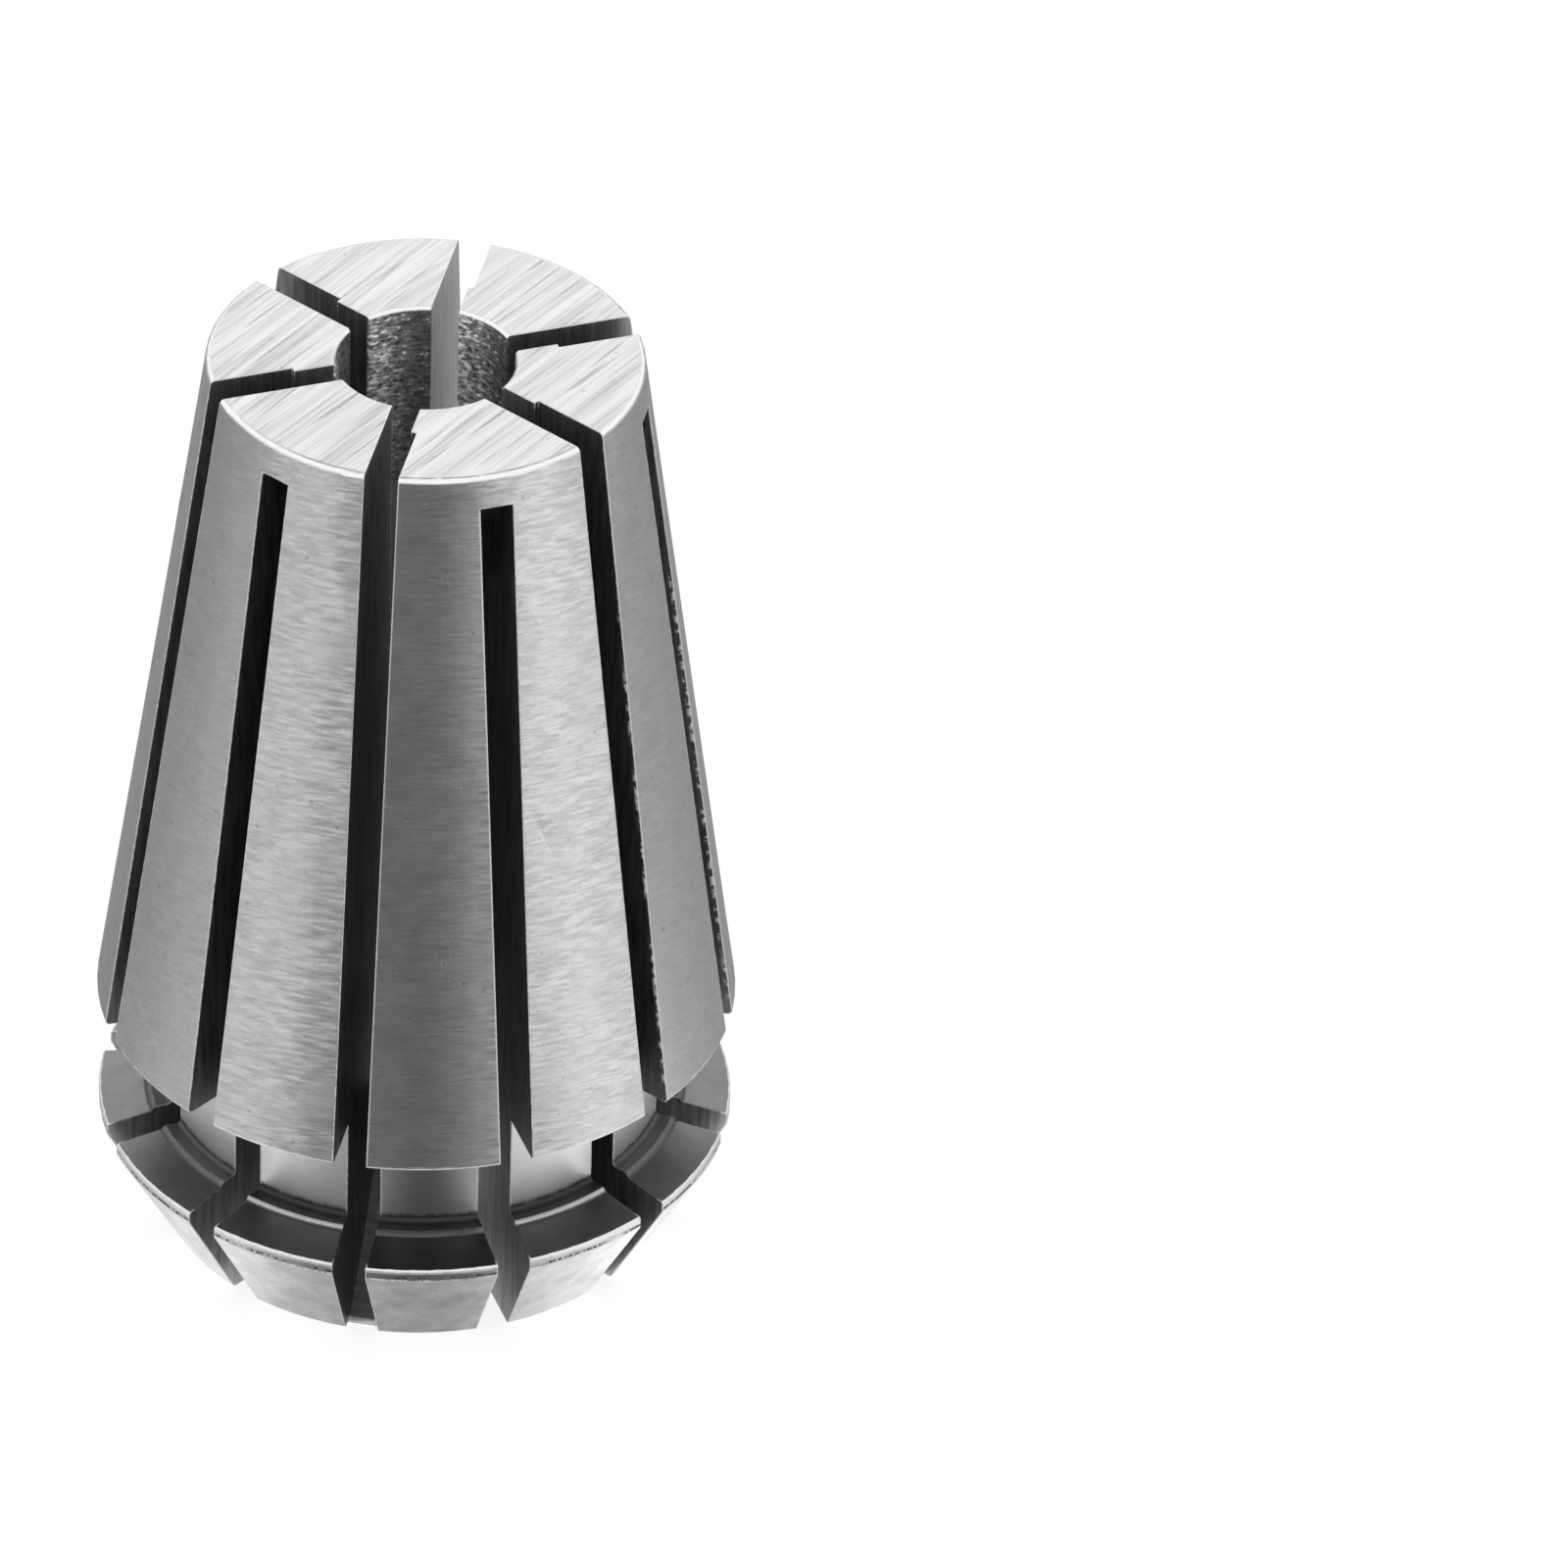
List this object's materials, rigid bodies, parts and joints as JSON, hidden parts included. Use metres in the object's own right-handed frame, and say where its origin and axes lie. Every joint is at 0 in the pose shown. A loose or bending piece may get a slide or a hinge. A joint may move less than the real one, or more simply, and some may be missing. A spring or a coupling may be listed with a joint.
{
  "type": "er collet",
  "caption": "Slotted spring collet with a long seating taper, a nut groove, a coned collar and a straight bore that closes evenly on a round tool shank.",
  "frame": {"origin": "centre of the flat big-end face, on the collet's axis, where it stands", "axes": "+Z along the collet's axis from the big end to the small end; +X, -X, +Y and -Y each pass through the middle of a jaw, and -Y through the one that faces the camera in the picture"},
  "size_m": [0.0114, 0.0114, 0.018],
  "materials": {
    "collet_body": "ground"
  },
  "bodies": {
    "root": {"collet_body": "collet_body"}
  },
  "joints": []
}
